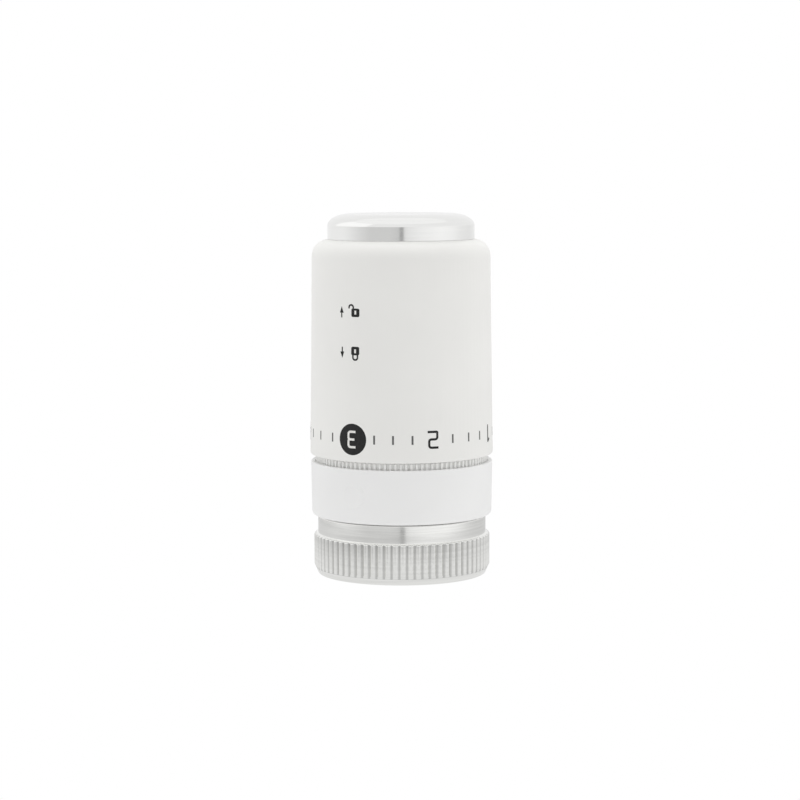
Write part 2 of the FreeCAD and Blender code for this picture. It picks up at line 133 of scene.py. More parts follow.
# The union nut's knurl and its M30 x 1.5 thread
NUT_TOP = span("union_nut")[1]
NUT_NECK = 17.96
NUT_FOOT = 17.95
NUT_BORE = 15.2
NUT_LIP = 12.5
NUT_LIP_BOTTOM = 11.0
FLUTE_COUNT = 72
FLUTE_CREST = 18.82
FLUTE_DEPTH = 0.42
# Painted shade: below this depth the knurl's grooves get a darker metal colour, mixed towards the colour
# below
FLUTE_SHADE_FROM = 0.22
FLUTE_SHADE_AMOUNT = 0.4
FLUTE_SHADE_COLOUR = (0.1, 0.1, 0.095, 1)
KNURL_BOTTOM = 1.3
KNURL_TOP = 8.4
THREAD_MINOR = 14.19
THREAD_MAJOR = 15.0
THREAD_PITCH = 1.5
THREAD_START = 0.9
THREAD_END = 8.5
THREAD_TURNS = 7
THREAD_RUN_OUT = 0.5

# The scale printed round the foot of the dial
NUMBER_PLACES = {"5": -109.0, "4": -54.5, "2": 51.3, "1": 101.2, "0": 180.0}
FROST_PLACE = 153.9
SCALE_HEIGHT = 30.6
STROKE = 0.48
FINE_STROKE = 0.3
BOW_STROKE = 0.36
DISC_RADIUS = 3.28
DISC_HEIGHT = SCALE_HEIGHT - 0.1
UNLOCKED_HEIGHT = 56.8
LOCKED_HEIGHT = 48.9
INK_LIFT = 0.01
INK_SINK = 0.06
INK_LAYER = 0.025
INK_STEP = 0.002

# The tent's brightness at azimuths counted from the camera's
TENT_LEVELS = ((-180, 0.95), (-140, 0.93), (-100, 0.95), (-84, 0.88), (-66, 0.78), (-48, 0.69), (-17, 0.69),
               (-3, 0.64), (-1.5, 0.42), (3, 0.42), (5, 0.8), (11, 0.88), (30, 0.96), (64, 1.03), (84, 1.0),
               (107, 0.9), (132, 0.86), (180, 0.95))

# What the metal sees of the floor; each ring is a distance and a share of the tent's grading
FLOOR_NEAR = 0.8
FLOOR_BASE = 0.21
FLOOR_GRADING = 0.5
FLOOR_RINGS = ((0.0, 0), (0.05, 0), (0.072, 1), (0.6, 1))
UNDER_FLOOR = -0.001

# Where the lights stand, how high they reach and how bright they are
TENT_DISTANCE = 0.6
TENT_STEP = 0.115
TENT_TOP = 0.8
UPPER_LEVEL = 0.93
SOFT_BOX_SPAN = (-122, -54)
SOFT_BOX_DISTANCE = 0.58
SOFT_BOX_TOP = 0.75
SOFT_BOX_LEVEL = 1.10
FLAG_SPAN = (-62, 28)
FLAG_DISTANCE = 0.5
FLAG_TOP = 0.6
FLAG_LEVEL = 0.55
OVERHEAD_HEIGHT = 0.9
OVERHEAD_REACH = 0.4
OVERHEAD_LEVEL = 1.9

# Where the camera stands, in degrees from the front, and how far away
CAMERA_AZIMUTH = 31.8
CAMERA_ELEVATION = 5.93
CAMERA_DISTANCE = 0.5107
CAMERA_TARGET_HEIGHT = 0.03698
CAMERA_SIDE_STEP = 0.00032
CAMERA_ROLL = 0.18
CAMERA_LENS = 107.43
CAMERA_SENSOR = 36
CAMERA_CLIP_END = 20


# ---------------------------------------------------------------- shapes

def between(start, stop, count):
    """Evenly spaced values from start to stop, both ends included."""
    return [start + (stop - start) * index / (count - 1) for index in range(count)]


def rounded(path, steps=5):
    """Open line of plane points with the corners that ask for it turned into arcs."""
    points = [Vector(corner[:2]) for corner in path]
    line = []
    for index, corner in enumerate(path):
        if len(corner) == 2:
            line.append(tuple(points[index]))
            continue
        radius = corner[2]
        arm_in = (points[index - 1] - points[index]).normalized()
        arm_out = (points[index + 1] - points[index]).normalized()
        half = arm_in.angle(arm_out) / 2
        centre = points[index] + (arm_in + arm_out).normalized() * (radius / math.sin(half))
        first = (points[index] + arm_in * (radius / math.tan(half)) - centre).normalized()
        last = (points[index] + arm_out * (radius / math.tan(half)) - centre).normalized()
        line += [tuple(centre + first.slerp(last, step / steps) * radius) for step in range(steps + 1)]
    return line


def make_piece(name, points, faces, body, finish):
    """Closed mesh with smooth faces and crisp edges, riding on its body."""
    mesh = bpy.data.meshes.new(name)
    mesh.from_pydata([Vector(point) * MM for point in points], [], faces)
    mesh.materials.append(finish)
    shape = bmesh.new()
    shape.from_mesh(mesh)
    bmesh.ops.remove_doubles(shape, verts=shape.verts, dist=2e-7)
    bmesh.ops.recalc_face_normals(shape, faces=shape.faces)
    for face in shape.faces:
        face.smooth = True
    shape.to_mesh(mesh)
    shape.free()
    mesh.set_sharp_from_angle(angle=math.radians(30))
    piece = bpy.data.objects.new(name, mesh)
    bpy.context.scene.collection.objects.link(piece)
    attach(piece, body)
    return piece


def plain_rows(line, count):
    """Rows of a turned skin, in which every column has the same radius and height."""
    return [[point] * count for point in line]


def turned_skin(rows, angles, partners=None):
    """Points and faces of a closed skin of rows of (radius, height), one for each angle.

    partners says which row each row runs on into after a full turn, where that isn't itself.
    """
    count = len(angles)
    points = []
    for row in rows:
        for (radius, height), angle in zip(row, angles):
            points.append((radius * math.sin(angle), -radius * math.cos(angle), height))
    meets = partners or list(range(len(rows)))
    faces = []
    for low in range(len(rows)):
        high = (low + 1) % len(rows)
        for column in range(count - 1):
            start = low * count + column
            above = high * count + column
            faces.append((start, start + 1, above + 1, above))
        last, last_above = low * count + count - 1, high * count + count - 1
        faces.append((last, meets[low] * count, meets[high] * count, last_above))
    return points, faces


def keep_flats_flat(piece):
    """Weighted normals, so that a small rounded edge doesn't shade the flats beside it."""
    modifier = piece.modifiers.new("weighted_normals", "WEIGHTED_NORMAL")
    modifier.keep_sharp = True


def dial_radius(height):
    """Outer radius of the dial's wall, which flares slightly and hollows towards its foot."""
    wall_foot = DIAL_BOTTOM + DIAL_FOOT_ROUND
    share = (height - wall_foot) / (SHOULDER_START - wall_foot)
    return DIAL_FOOT_RADIUS - DIAL_TAPER * share - 4 * DIAL_WAIST_DIP * share * (1 - share)


def shoulder_line():
    """The dial's shoulder: an arc from its wall to the cap's foot."""
    return [(SHOULDER_CENTRE + DIAL_SHOULDER * math.cos(angle),
             SHOULDER_START + DIAL_SHOULDER * math.sin(angle))
            for angle in between(SHOULDER_SWEEP / 16, SHOULDER_SWEEP, 16)]


def make_dial(finish):
    """Hand wheel: a hollow moulding with locking teeth at its foot and driving keys inside."""
    places = [tooth + corner for tooth in range(TOOTH_COUNT) for corner in TOOTH_CORNERS]
    angles = [place * TOOTH_PITCH for place in places]
    teeth = [TOOTH_ROOT if index % 4 in (1, 2) else TOOTH_TIP for index in range(len(places))]
    from_key = [abs((place + TEETH_PER_KEY / 2) % TEETH_PER_KEY - TEETH_PER_KEY / 2) for place in places]
    keys = [KEY_TIP if away < 1 else DIAL_BORE for away in from_key]
    wall = between(DIAL_BOTTOM + DIAL_WALL_START, SHOULDER_START, 14)
    under_plate = DIAL_TOP - DIAL_PLATE
    outside = rounded(
        [(FOOT_FLAT, DIAL_BOTTOM), (DIAL_FOOT_RADIUS, DIAL_BOTTOM, DIAL_FOOT_ROUND)]
        + [(dial_radius(height), height) for height in wall] + shoulder_line()
        + [(DIAL_MOUTH, DIAL_TOP), (DIAL_MOUTH, under_plate), (DIAL_MOUTH + DIAL_MOUTH_LEDGE, under_plate),
           (DIAL_BORE, DIAL_TOP - DIAL_INNER_CORNER, 1.2), (DIAL_BORE, STOP_GROOVE_TOP),
           (STOP_GROOVE_RADIUS, STOP_GROOVE_TOP), (STOP_GROOVE_RADIUS, STOP_GROOVE_BOTTOM),
           (DIAL_BORE, STOP_GROOVE_BOTTOM), (DIAL_BORE, KEY_TOP)], 9)
    rows = [[(radius, DIAL_BOTTOM) for radius in teeth]]
    rows += plain_rows(outside, len(angles))
    rows += [[(radius, KEY_TOP) for radius in keys], [(radius, KEY_BOTTOM) for radius in keys]]
    relief_line = [(DIAL_BORE, KEY_BOTTOM), (DIAL_BORE, BORE_BOTTOM), (BORE_RELIEF, TOOTH_TOP)]
    rows += plain_rows(relief_line, len(angles))
    rows.append([(radius, TOOTH_TOP) for radius in teeth])
    points, faces = turned_skin(rows, angles)
    piece = make_piece("dial_moulding", points, faces, "dial", finish)
    keep_flats_flat(piece)
    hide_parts("dial")


def make_cap(finish):
    """Chromed cap with its skirt inside the dial's mouth."""
    skirt_bottom = DIAL_TOP - SKIRT_DEPTH
    rim = [(CAP_RADIUS - CAP_RIM_WIDTH * (1 - math.sin(angle)),
            CAP_TOP - CAP_RIM_DROP * (1 - math.cos(angle)))
           for angle in between(0, TURN / 4, 25)]
    line = [(0, CAP_TOP)] + rim + rounded([
        rim[-1], (CAP_RADIUS, DIAL_TOP, 0.08), (SKIRT_OUTSIDE, DIAL_TOP),
        (SKIRT_OUTSIDE, skirt_bottom, 0.4), (SKIRT_INSIDE, skirt_bottom, 0.3),
        (SKIRT_INSIDE, CAP_TOP - 2 * CAP_PLATE), (CAP_FLAT_INSIDE, CAP_TOP - CAP_PLATE),
        (0, CAP_TOP - CAP_PLATE)], 8)[1:]
    angles = [TURN * index / 256 for index in range(256)]
    points, faces = turned_skin(plain_rows(line, len(angles)), angles)
    piece = make_piece("cap_shell", points, faces, "dial", finish)
    keep_flats_flat(piece)
    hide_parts("top_cap")


def ring_radius(height):
    """Outer radius of the base ring's wall, which widens a little from its foot to its crown."""
    return RING_CROWN_RADIUS - RING_TAPER * (RING_TOP - height) / (RING_TOP - RING_BOTTOM)


def make_base_ring(finish):
    """White ring under the dial."""
    line = rounded([
        (RING_LIP, RING_BOTTOM), (ring_radius(RING_BOTTOM), RING_BOTTOM, 0.8),
        (RING_CROWN_RADIUS, RING_TOP, 0.2), (RING_MOUTH, RING_TOP),
        (RING_MOUTH, RING_SEAT_TOP), (RING_SEAT, RING_SEAT_TOP),
        (RING_SEAT, RING_SEAT_BOTTOM), (RING_BORE, RING_SEAT_BOTTOM),
        (RING_BORE, BEAD_HEIGHT + BEAD_HALF), (BEAD_TIP, BEAD_HEIGHT), (RING_BORE, BEAD_HEIGHT - BEAD_HALF),
        (RING_BORE, RING_LIP_TOP), (RING_LIP, RING_LIP_TOP)], 8)
    angles = [TURN * index / 360 for index in range(360)]
    points, faces = turned_skin(plain_rows(line, len(angles)), angles)
    piece = make_piece("base_ring_moulding", points, faces, "base", finish)
    keep_flats_flat(piece)
    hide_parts("base_ring")


def make_index_mark(finish):
    """Low round boss with a raised rim, on the base ring, that the numbers are read against."""
    low, high = span("index_mark")[:2]
    height = (low + high) / 2
    outer = (high - low) / 2
    rings = [(0.5 * outer, MARK_DISH), (outer - 0.85, MARK_DISH), (outer - 0.5, MARK_PROUD),
             (outer - 0.3, MARK_PROUD), (outer - 0.06, MARK_DISH), (outer, -0.1)]
    segments = 64
    points = [(0, -ring_radius(height) - MARK_DISH, height), (0, -ring_radius(height) + 0.3, height)]
    for reach, lift in rings:
        for segment in range(segments):
            across = reach * math.cos(TURN * segment / segments)
            up = reach * math.sin(TURN * segment / segments)
            angle = across / ring_radius(height + up)
            radius = ring_radius(height + up) + lift
            points.append((radius * math.sin(angle), -radius * math.cos(angle), height + up))
    faces = []
    for segment in range(segments):
        following = (segment + 1) % segments
        faces.append((0, 2 + segment, 2 + following))
        for ring in range(len(rings) - 1):
            start = 2 + ring * segments
            faces.append((start + segment, start + following,
                          start + segments + following, start + segments + segment))
        last = 2 + (len(rings) - 1) * segments
        faces.append((last + segment, last + following, 1))
    piece = make_piece("index_boss", points, faces, "base", finish)
    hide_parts("index_mark")


def thread_point(height, radius):
    """Point of the nut's thread, kept between its two ends, where the groove runs out."""
    held = min(max(height, THREAD_START), THREAD_END)
    run_out = min(1.0, (held - THREAD_START) / THREAD_RUN_OUT, (THREAD_END - held) / THREAD_RUN_OUT)
    return THREAD_MINOR + (radius - THREAD_MINOR) * run_out, held


def make_nut(finish):
    """Union nut: straight knurl outside, and a helical M30 x 1.5 thread inside."""
    flute_shares = between(-0.5, 0.5, 13)[1:]
    limits = [FLUTE_CREST - FLUTE_DEPTH * math.cos(math.pi * share) ** 2 for share in flute_shares]
    angles = [TURN * (flute + share) / FLUTE_COUNT for flute in range(FLUTE_COUNT) for share in flute_shares]
    limits *= FLUTE_COUNT
    count = len(angles)
    outside = rounded([
        (NUT_BORE, 0), (NUT_FOOT, 0, 0.25), (18.2, 0.6), (18.42, 1.12), (18.62, 1.56),
        (FLUTE_CREST, 1.95, 0.15), (FLUTE_CREST, 8.3, 0.1),
        (18.62, 8.46), (18.42, 8.56), (18.2, 8.66), (NUT_NECK, 8.75, 0.1),
        (NUT_NECK, NUT_TOP, 0.25), (NUT_LIP, NUT_TOP), (NUT_LIP, NUT_LIP_BOTTOM), (NUT_BORE, NUT_LIP_BOTTOM),
        (NUT_BORE, 8.9), (THREAD_MINOR, THREAD_END)], 4)
    rows = [[(min(radius, limit), height) for limit in limits] for radius, height in outside]
    climb = [(0.0, THREAD_MINOR), (0.25, THREAD_MINOR), (0.5625, THREAD_MAJOR), (0.6875, THREAD_MAJOR)]
    lowest = THREAD_START - THREAD_PITCH * 1.1
    thread = []
    for turn in range(THREAD_TURNS):
        for share, radius in climb:
            thread.append([thread_point(lowest + THREAD_PITCH * (turn + share + angle / TURN), radius)
                           for angle in angles])
    thread.reverse()
    partners = list(range(len(rows)))
    partners += [len(rows) + max(0, index - len(climb)) for index in range(len(thread))]
    rows += thread
    rows += plain_rows([(THREAD_MINOR, THREAD_START)], count)
    partners.append(len(rows) - 1)
    points, faces = turned_skin(rows, angles, partners)
    piece = make_piece("union_nut_knurled", points, faces, "nut", finish)
    keep_flats_flat(piece)
    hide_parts("union_nut")


def make_spring(finish):
    """Overtravel spring, as in CAD, riding on the plunger."""
    mesh = frame["nodes"]["overtravel_spring"].data.copy()
    mesh.materials.clear()
    mesh.materials.append(finish)
    spring = bpy.data.objects.new("spring_coils", mesh)
    bpy.context.scene.collection.objects.link(spring)
    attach(spring, "plunger")
    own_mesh(spring)
    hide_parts("overtravel_spring")


# ---------------------------------------------------------------- printed marks

def ribbon(path, width=STROKE):
    """Left and right edges of a stroke of the pen along a path of plane points."""
    line = [Vector(point) for point in rounded(path, 4)]
    fine = [line[0]]
    for start, stop in zip(line, line[1:]):
        parts = max(1, math.ceil((stop - start).length / 0.5))
        fine += [start.lerp(stop, part / parts) for part in range(1, parts + 1)]
    closed = (fine[0] - fine[-1]).length < 1e-6
    edges = []
    for index, point in enumerate(fine):
        before = fine[index - 1] if index else (fine[-2] if closed else None)
        after = fine[index + 1] if index < len(fine) - 1 else (fine[1] if closed else None)
        arm_in = (point - before).normalized() if before else (after - point).normalized()
        arm_out = (after - point).normalized() if after else arm_in
        middle = (arm_in + arm_out).normalized()
        side = Vector((-middle.y, middle.x)) * (width / 2 / max(0.3, middle.dot(arm_in)))
        edges.append((point + side, point - side))
    return edges


def slab(width, height, across=0.0, up=0.0, corner=0.0):
    """Edges of a filled oblong, in upright slices."""
    half = width / 2
    slices = []
    for share in between(-1, 1, 9):
        reach = math.sin(share * math.pi / 2) * half
        inset = max(0.0, abs(reach) - half + corner)
        cut = corner - math.sqrt(max(0.0, corner ** 2 - inset ** 2))
        slices.append((Vector((across + reach, up + height / 2 - cut)),
                       Vector((across + reach, up - height / 2 + cut))))
    return slices


def disc(radius):
    """Edges of a filled disc, in upright slices."""
    slices = []
    for share in between(-1, 1, 33):
        reach = radius * math.sin(share * math.pi / 2)
        half = max(0.02, radius * math.cos(share * math.pi / 2))
        slices.append((Vector((reach, half)), Vector((reach, -half))))
    return slices


def stamp(name, strokes, finish, layer=0):
    """Thin print on the dial: each stroke is (edges, angle in degrees, height, turned upside down).

    Neighbouring strokes lie at slightly different levels, and a higher layer lies over a lower one.
    """
    points = []
    faces = []
    for order, (edges, degrees, height, inverted) in enumerate(strokes):
        base = len(points)
        sign = -1 if inverted else 1
        lift = INK_LIFT + INK_LAYER * layer + INK_STEP * (order % 3)
        for pair in edges:
            for depth in (lift, -INK_SINK):
                for spot in pair:
                    level = height + sign * spot.y
                    angle = math.radians(degrees) + sign * spot.x / dial_radius(level)
                    radius = dial_radius(level) + depth
                    points.append((radius * math.sin(angle), -radius * math.cos(angle), level))
        for index in range(len(edges) - 1):
            a = base + 4 * index
            b = a + 4
            faces += [(a, b, b + 1, a + 1), (a + 3, b + 3, b + 2, a + 2), (a + 1, b + 1, b + 3, a + 3),
                      (a + 2, b + 2, b, a)]
        if (edges[0][0] - edges[-1][0]).length > 1e-6:
            end = base + 4 * (len(edges) - 1)
            faces += [(base, base + 1, base + 3, base + 2), (end + 2, end + 3, end + 1, end)]
    return make_piece(name, points, faces, "dial", finish)


def number_strokes():
    """Squared figures as they are read, each a list of pen paths."""
    return {
        "0": [[(0, 1.65), (0.95, 1.65, 0.5), (0.95, -1.65, 0.5), (-0.95, -1.65, 0.5), (-0.95, 1.65, 0.5),
               (0, 1.65)]],
        "1": [[(-0.85, 1.05), (0.1, 1.75, 0.1), (0.1, -1.85)]],
        "2": [[(-1.19, 1.64), (0.85, 1.64, 0.5), (0.85, -0.08, 0.45), (-0.93, -0.08, 0.45),
               (-0.93, -1.64, 0.2), (1.18, -1.64)]],
        "3": [[(-0.8, 1.6), (0.93, 1.6, 0.5), (0.93, 0.3, 0.25), (0.7, 0.0), (0.93, -0.3, 0.25),
               (0.93, -1.6, 0.5), (-0.8, -1.6)], [(-0.55, 0), (0.62, 0)]],
        "4": [[(-0.45, 1.85), (-1.05, -0.75, 0.1), (1.15, -0.75)], [(0.5, 0.55), (0.5, -1.85)]],
        "5": [[(1.05, 1.64), (-0.93, 1.64, 0.2), (-0.93, 0.15, 0.2), (0.95, 0.15, 0.45), (0.95, -1.64, 0.5),
               (-1.15, -1.64)]]}


def frost_strokes():
    """Frost sign: three crossed strokes with a small fork at each of their ends."""
    strokes = []
    for arm in range(6):
        angle = TURN * arm / 6 + TURN / 4
        along = Vector((math.cos(angle), math.sin(angle)))
        side = Vector((-along.y, along.x))
        strokes.append([tuple(along * 0.1), tuple(along * 1.75)])
        fork = along * 1.55
        strokes.append([tuple(fork + side * 0.5), tuple(along * 1.05), tuple(fork - side * 0.5)])
    return strokes


def make_scale(ink, pale_ink, grey_ink):
    """Numbers and ticks round the foot of the dial, printed to be read with the head upside down."""
    numbers = number_strokes()
    for figure, place in NUMBER_PLACES.items():
        stamp("print_" + figure, [(ribbon(path), place, SCALE_HEIGHT, True) for path in numbers[figure]], ink)
    frost = [(ribbon(path, FINE_STROKE), FROST_PLACE, SCALE_HEIGHT, True) for path in frost_strokes()]
    stamp("print_frost", frost, ink)
    stamp("print_3_disc", [(disc(DISC_RADIUS), 0, DISC_HEIGHT, True)], ink)
    three = [(ribbon(path), 0, DISC_HEIGHT, True) for path in numbers["3"]]
    stamp("print_3", three, pale_ink, 1)
    ticks = [14.8, 26.5, 38.4, -16.0, -29.0, -42.0]
    ticks += [NUMBER_PLACES["2"] + offset for offset in (13.5, 26.4, 37.7)]
    ticks += [NUMBER_PLACES["1"] + offset for offset in (13.0, 26.0, 39.0)]
    ticks += [NUMBER_PLACES["4"] - offset for offset in (13.6, 27.2, 40.8)]
    stamp("print_ticks", [(slab(0.40, 1.85), tick, SCALE_HEIGHT, True) for tick in ticks], grey_ink)


def arrow_strokes(degrees, height, points_down):
    """Small arrow: a stem and a narrow head."""
    head = [(Vector((0, 1.15)), Vector((0.001, 1.15))), (Vector((-0.5, -0.18)), Vector((0.5, -0.18)))]
    return [(head, degrees, height, points_down), (slab(0.3, 1.0, 0, -0.66), degrees, height, points_down)]


def make_icons(ink, pale_ink):
    """Two printed hints: pulled up the dial turns, pushed down it is locked."""
    body = slab(1.92, 1.76, corner=0.3)
    hole = slab(0.42, 0.8, 0, 0.05)
    open_bow = ribbon([(-0.5, 0.8), (-0.5, 1.6, 0.5), (-1.54, 1.6, 0.5), (-1.54, 0.85)], BOW_STROKE)
    shut_bow = ribbon([(-0.55, 0.8), (-0.55, 1.85, 0.5), (0.55, 1.85, 0.5), (0.55, 0.8)], BOW_STROKE)
    unlocked = (2.1, UNLOCKED_HEIGHT, False)
    locked = (2.0, LOCKED_HEIGHT, True)
    stamp("print_unlocked", [(body, *unlocked), (open_bow, *unlocked)]
          + arrow_strokes(-8.3, UNLOCKED_HEIGHT + 0.1, False), ink)
    stamp("print_locked", [(body, *locked), (shut_bow, *locked)]
          + arrow_strokes(-7.8, LOCKED_HEIGHT - 0.4, True), ink)
    stamp("print_keyholes", [(hole, *unlocked), (hole, *locked)], pale_ink, 1)


# ---------------------------------------------------------------- finishes

def add_node(tree, kind, values):
    """Shader node with some of its inputs set."""
    node = tree.nodes.new(kind)
    for name, value in values.items():
        node.inputs[name].default_value = value
    return node


def noise(tree, place, scale, detail=3.0):
    """Value of a noise texture at a place."""
    node = add_node(tree, "ShaderNodeTexNoise", {"Scale": scale, "Detail": detail, "Roughness": 0.55})
    tree.links.new(place, node.inputs["Vector"])
    return node.outputs["Fac"]


def colour_between(tree, share, dark, light):
    """Colour that a share between 0.35 and 0.65 moves from dark to light."""
    node = tree.nodes.new("ShaderNodeValToRGB")
    node.color_ramp.elements[0].position = 0.35
    node.color_ramp.elements[1].position = 0.65
    node.color_ramp.elements[0].color = (*dark, 1)
    node.color_ramp.elements[1].color = (*light, 1)
    tree.links.new(share, node.inputs["Fac"])
    return node.outputs["Color"]


def value_between(tree, share, low, high):
    """Number that a share between 0.3 and 0.7 moves from low to high."""
    node = add_node(tree, "ShaderNodeMapRange", {
        "From Min": 0.3, "From Max": 0.7, "To Min": low, "To Max": high})
    tree.links.new(share, node.inputs["Value"])
    return node.outputs["Result"]


def relief(tree, height, depth, strength, under=None):
    """Normal of a bump, laid over another bump where one is given."""
    node = add_node(tree, "ShaderNodeBump", {"Distance": depth * MM, "Strength": strength})
    tree.links.new(height, node.inputs["Height"])
    if under is not None:
        tree.links.new(under, node.inputs["Normal"])
    return node.outputs["Normal"]


def new_finish(name):
    """Material with its node tree, its shader and the place on the object."""
    finish = bpy.data.materials.new(name)
    finish.use_nodes = True
    tree = finish.node_tree
    place = tree.nodes.new("ShaderNodeTexCoord").outputs["Object"]
    return finish, tree, tree.nodes["Principled BSDF"], place


def turned_place(tree, place, streak):
    """Place as (radius, a little of the way round, height), in which marks run round the axis."""
    parts = tree.nodes.new("ShaderNodeSeparateXYZ")
    flat = tree.nodes.new("ShaderNodeCombineXYZ")
    length = tree.nodes.new("ShaderNodeVectorMath")
    length.operation = "LENGTH"
    slow = add_node(tree, "ShaderNodeMath", {1: streak})
    slow.operation = "MULTIPLY"
    joined = tree.nodes.new("ShaderNodeCombineXYZ")
    tree.links.new(place, parts.inputs["Vector"])
    tree.links.new(parts.outputs["X"], flat.inputs["X"])
    tree.links.new(parts.outputs["Y"], flat.inputs["Y"])
    tree.links.new(flat.outputs["Vector"], length.inputs[0])
    tree.links.new(parts.outputs["X"], slow.inputs[0])
    tree.links.new(length.outputs["Value"], joined.inputs["X"])
    tree.links.new(slow.outputs["Value"], joined.inputs["Y"])
    tree.links.new(parts.outputs["Z"], joined.inputs["Z"])
    return joined.outputs["Vector"]


def moulded_plastic(name, colour, roughness, grain=0.25):
    """Injection-moulded plastic: faint tone drift, a spark-eroded grain and slightly uneven gloss."""
    finish, tree, shader, place = new_finish(name)
    dark = tuple(part * 0.975 for part in colour)
    tone = colour_between(tree, noise(tree, place, 55), dark, colour)
    gloss = value_between(tree, noise(tree, place, 420), roughness - 0.04, roughness + 0.04)
    flow = relief(tree, noise(tree, place, 130), 0.05, 0.06)
    grained = relief(tree, noise(tree, place, 5200, 4), 0.012, grain, flow)
    tree.links.new(tone, shader.inputs["Base Color"])
    tree.links.new(gloss, shader.inputs["Roughness"])
    tree.links.new(grained, shader.inputs["Normal"])
    shader.inputs["IOR"].default_value = 1.47
    return finish


def turned_metal(name, colour, roughness, marks, tarnish=0.07):
    """Lathe-turned metal: fine rings round the axis, uneven gloss and a slight tarnish."""
    finish, tree, shader, place = new_finish(name)
    dark = tuple(part * (1 - tarnish) for part in colour)
    round_axis = turned_place(tree, place, 0.04)
    rings = noise(tree, round_axis, 5200, 5)
    tone = colour_between(tree, noise(tree, round_axis, 1500), dark, colour)
    gloss = value_between(tree, noise(tree, round_axis, 2600), roughness - 0.05, roughness + 0.07)
    worn = relief(tree, noise(tree, place, 240), 0.03, 0.02)
    tree.links.new(tone, shader.inputs["Base Color"])
    tree.links.new(gloss, shader.inputs["Roughness"])
    tree.links.new(relief(tree, rings, 0.006, marks, worn), shader.inputs["Normal"])
    shader.inputs["Metallic"].default_value = 1.0
    return finish


def paint_flute_shade(finish):
    """Darken the metal's colour in the grooves of the knurl, more the deeper it goes: painted shade in the
    recesses.
    """
    tree = finish.node_tree
    shader = tree.nodes["Principled BSDF"]
    tone = shader.inputs["Base Color"].links[0].from_socket
    place = tree.nodes["Texture Coordinate"].outputs["Object"]
    parts = tree.nodes.new("ShaderNodeSeparateXYZ")
    tree.links.new(turned_place(tree, place, 1.0), parts.inputs["Vector"])
    depth = add_node(tree, "ShaderNodeMapRange", {
        "From Min": (FLUTE_CREST - FLUTE_SHADE_FROM) * MM, "From Max": (FLUTE_CREST - FLUTE_DEPTH) * MM,
        "To Min": 0.0, "To Max": FLUTE_SHADE_AMOUNT})
    tree.links.new(parts.outputs["X"], depth.inputs["Value"])
    band = add_node(tree, "ShaderNodeMath", {1: (KNURL_BOTTOM + KNURL_TOP) / 2 * MM,
                                             2: (KNURL_TOP - KNURL_BOTTOM) / 2 * MM})
    band.operation = "COMPARE"
    tree.links.new(parts.outputs["Z"], band.inputs[0])
    share = tree.nodes.new("ShaderNodeMath")
    share.operation = "MULTIPLY"
    tree.links.new(depth.outputs["Result"], share.inputs[0])
    tree.links.new(band.outputs["Value"], share.inputs[1])
    mixed = tree.nodes.new("ShaderNodeMix")
    mixed.data_type = "RGBA"
    mixed.inputs[7].default_value = FLUTE_SHADE_COLOUR
    tree.links.new(share.outputs["Value"], mixed.inputs[0])
    tree.links.new(tone, mixed.inputs[6])
    tree.links.new(mixed.outputs[2], shader.inputs["Base Color"])
    return finish


def printed_ink(name, colour, roughness):
    """Pad-printed ink: a thin coat with fine pinholes and a slightly uneven edge to its gloss."""
    finish, tree, shader, place = new_finish(name)
    light = tuple(min(1.0, part * 1.25 + 0.004) for part in colour)
    tone = colour_between(tree, noise(tree, place, 2600, 2), colour, light)
    gloss = value_between(tree, noise(tree, place, 900), roughness - 0.05, roughness + 0.05)
    tree.links.new(tone, shader.inputs["Base Color"])
    tree.links.new(gloss, shader.inputs["Roughness"])
    tree.links.new(relief(tree, noise(tree, place, 7000), 0.004, 0.3), shader.inputs["Normal"])
    shader.inputs["Specular IOR Level"].default_value = 0.3
    return finish


def make_finishes():
    """Every material of the object by its name."""
    return {
        "white_dial": moulded_plastic("white_dial", (0.872, 0.868, 0.845), 0.42),
        "white_base": moulded_plastic("white_base", (0.89, 0.89, 0.885), 0.45),
        # Painted light: the lock ring's plastic is whiter than the other white plastics, standing in for
        # light that its recessed teeth don't get
        "lock_plastic": moulded_plastic("lock_plastic", (0.97, 0.97, 0.955), 0.5),
        "grey_plastic": moulded_plastic("grey_plastic", (0.16, 0.165, 0.17), 0.48),
        "natural_plastic": moulded_plastic("natural_plastic", (0.68, 0.66, 0.58), 0.4),
        "cap_chrome": turned_metal("cap_chrome", (0.87, 0.87, 0.86), 0.1, 0.015, 0.02),
        # The nut's metal gets painted shade in the grooves of its knurl
        "nut_chrome": paint_flute_shade(turned_metal("nut_chrome", (0.93, 0.93, 0.91), 0.13, 0.4, 0.09)),
        "socket_metal": turned_metal("socket_metal", (0.70, 0.67, 0.60), 0.28, 0.3),
        "brass": turned_metal("brass", (0.78, 0.58, 0.28), 0.26, 0.3),
        "bronze": turned_metal("bronze", (0.62, 0.40, 0.22), 0.32, 0.2),
        "spring_steel": turned_metal("spring_steel", (0.52, 0.53, 0.55), 0.3, 0.15),
        "ink": printed_ink("ink", (0.012, 0.012, 0.012), 0.55),
        "grey_ink": printed_ink("grey_ink", (0.11, 0.11, 0.11), 0.55),
        "pale_ink": printed_ink("pale_ink", (0.72, 0.715, 0.69), 0.45)}


def finish_cad_nodes(finishes):
    """Give each CAD node that stays the finish of its material slot."""
    for part in frame["record"]["subparts"]:
        node = frame["nodes"][part["node"]]
        for holder in node.material_slots:
            holder.material = finishes[part["material_slot"]]


# ---------------------------------------------------------------- floor, light and camera

def glow(name, level):
    """Plain even light from a surface."""
    material = bpy.data.materials.new(name)
    material.use_nodes = True
    tree = material.node_tree
    tree.nodes.remove(tree.nodes["Principled BSDF"])
    emission = add_node(tree, "ShaderNodeEmission", {"Color": (1, 1, 1, 1), "Strength": level})
    tree.links.new(emission.outputs["Emission"], tree.nodes["Material Output"].inputs["Surface"])
    return material


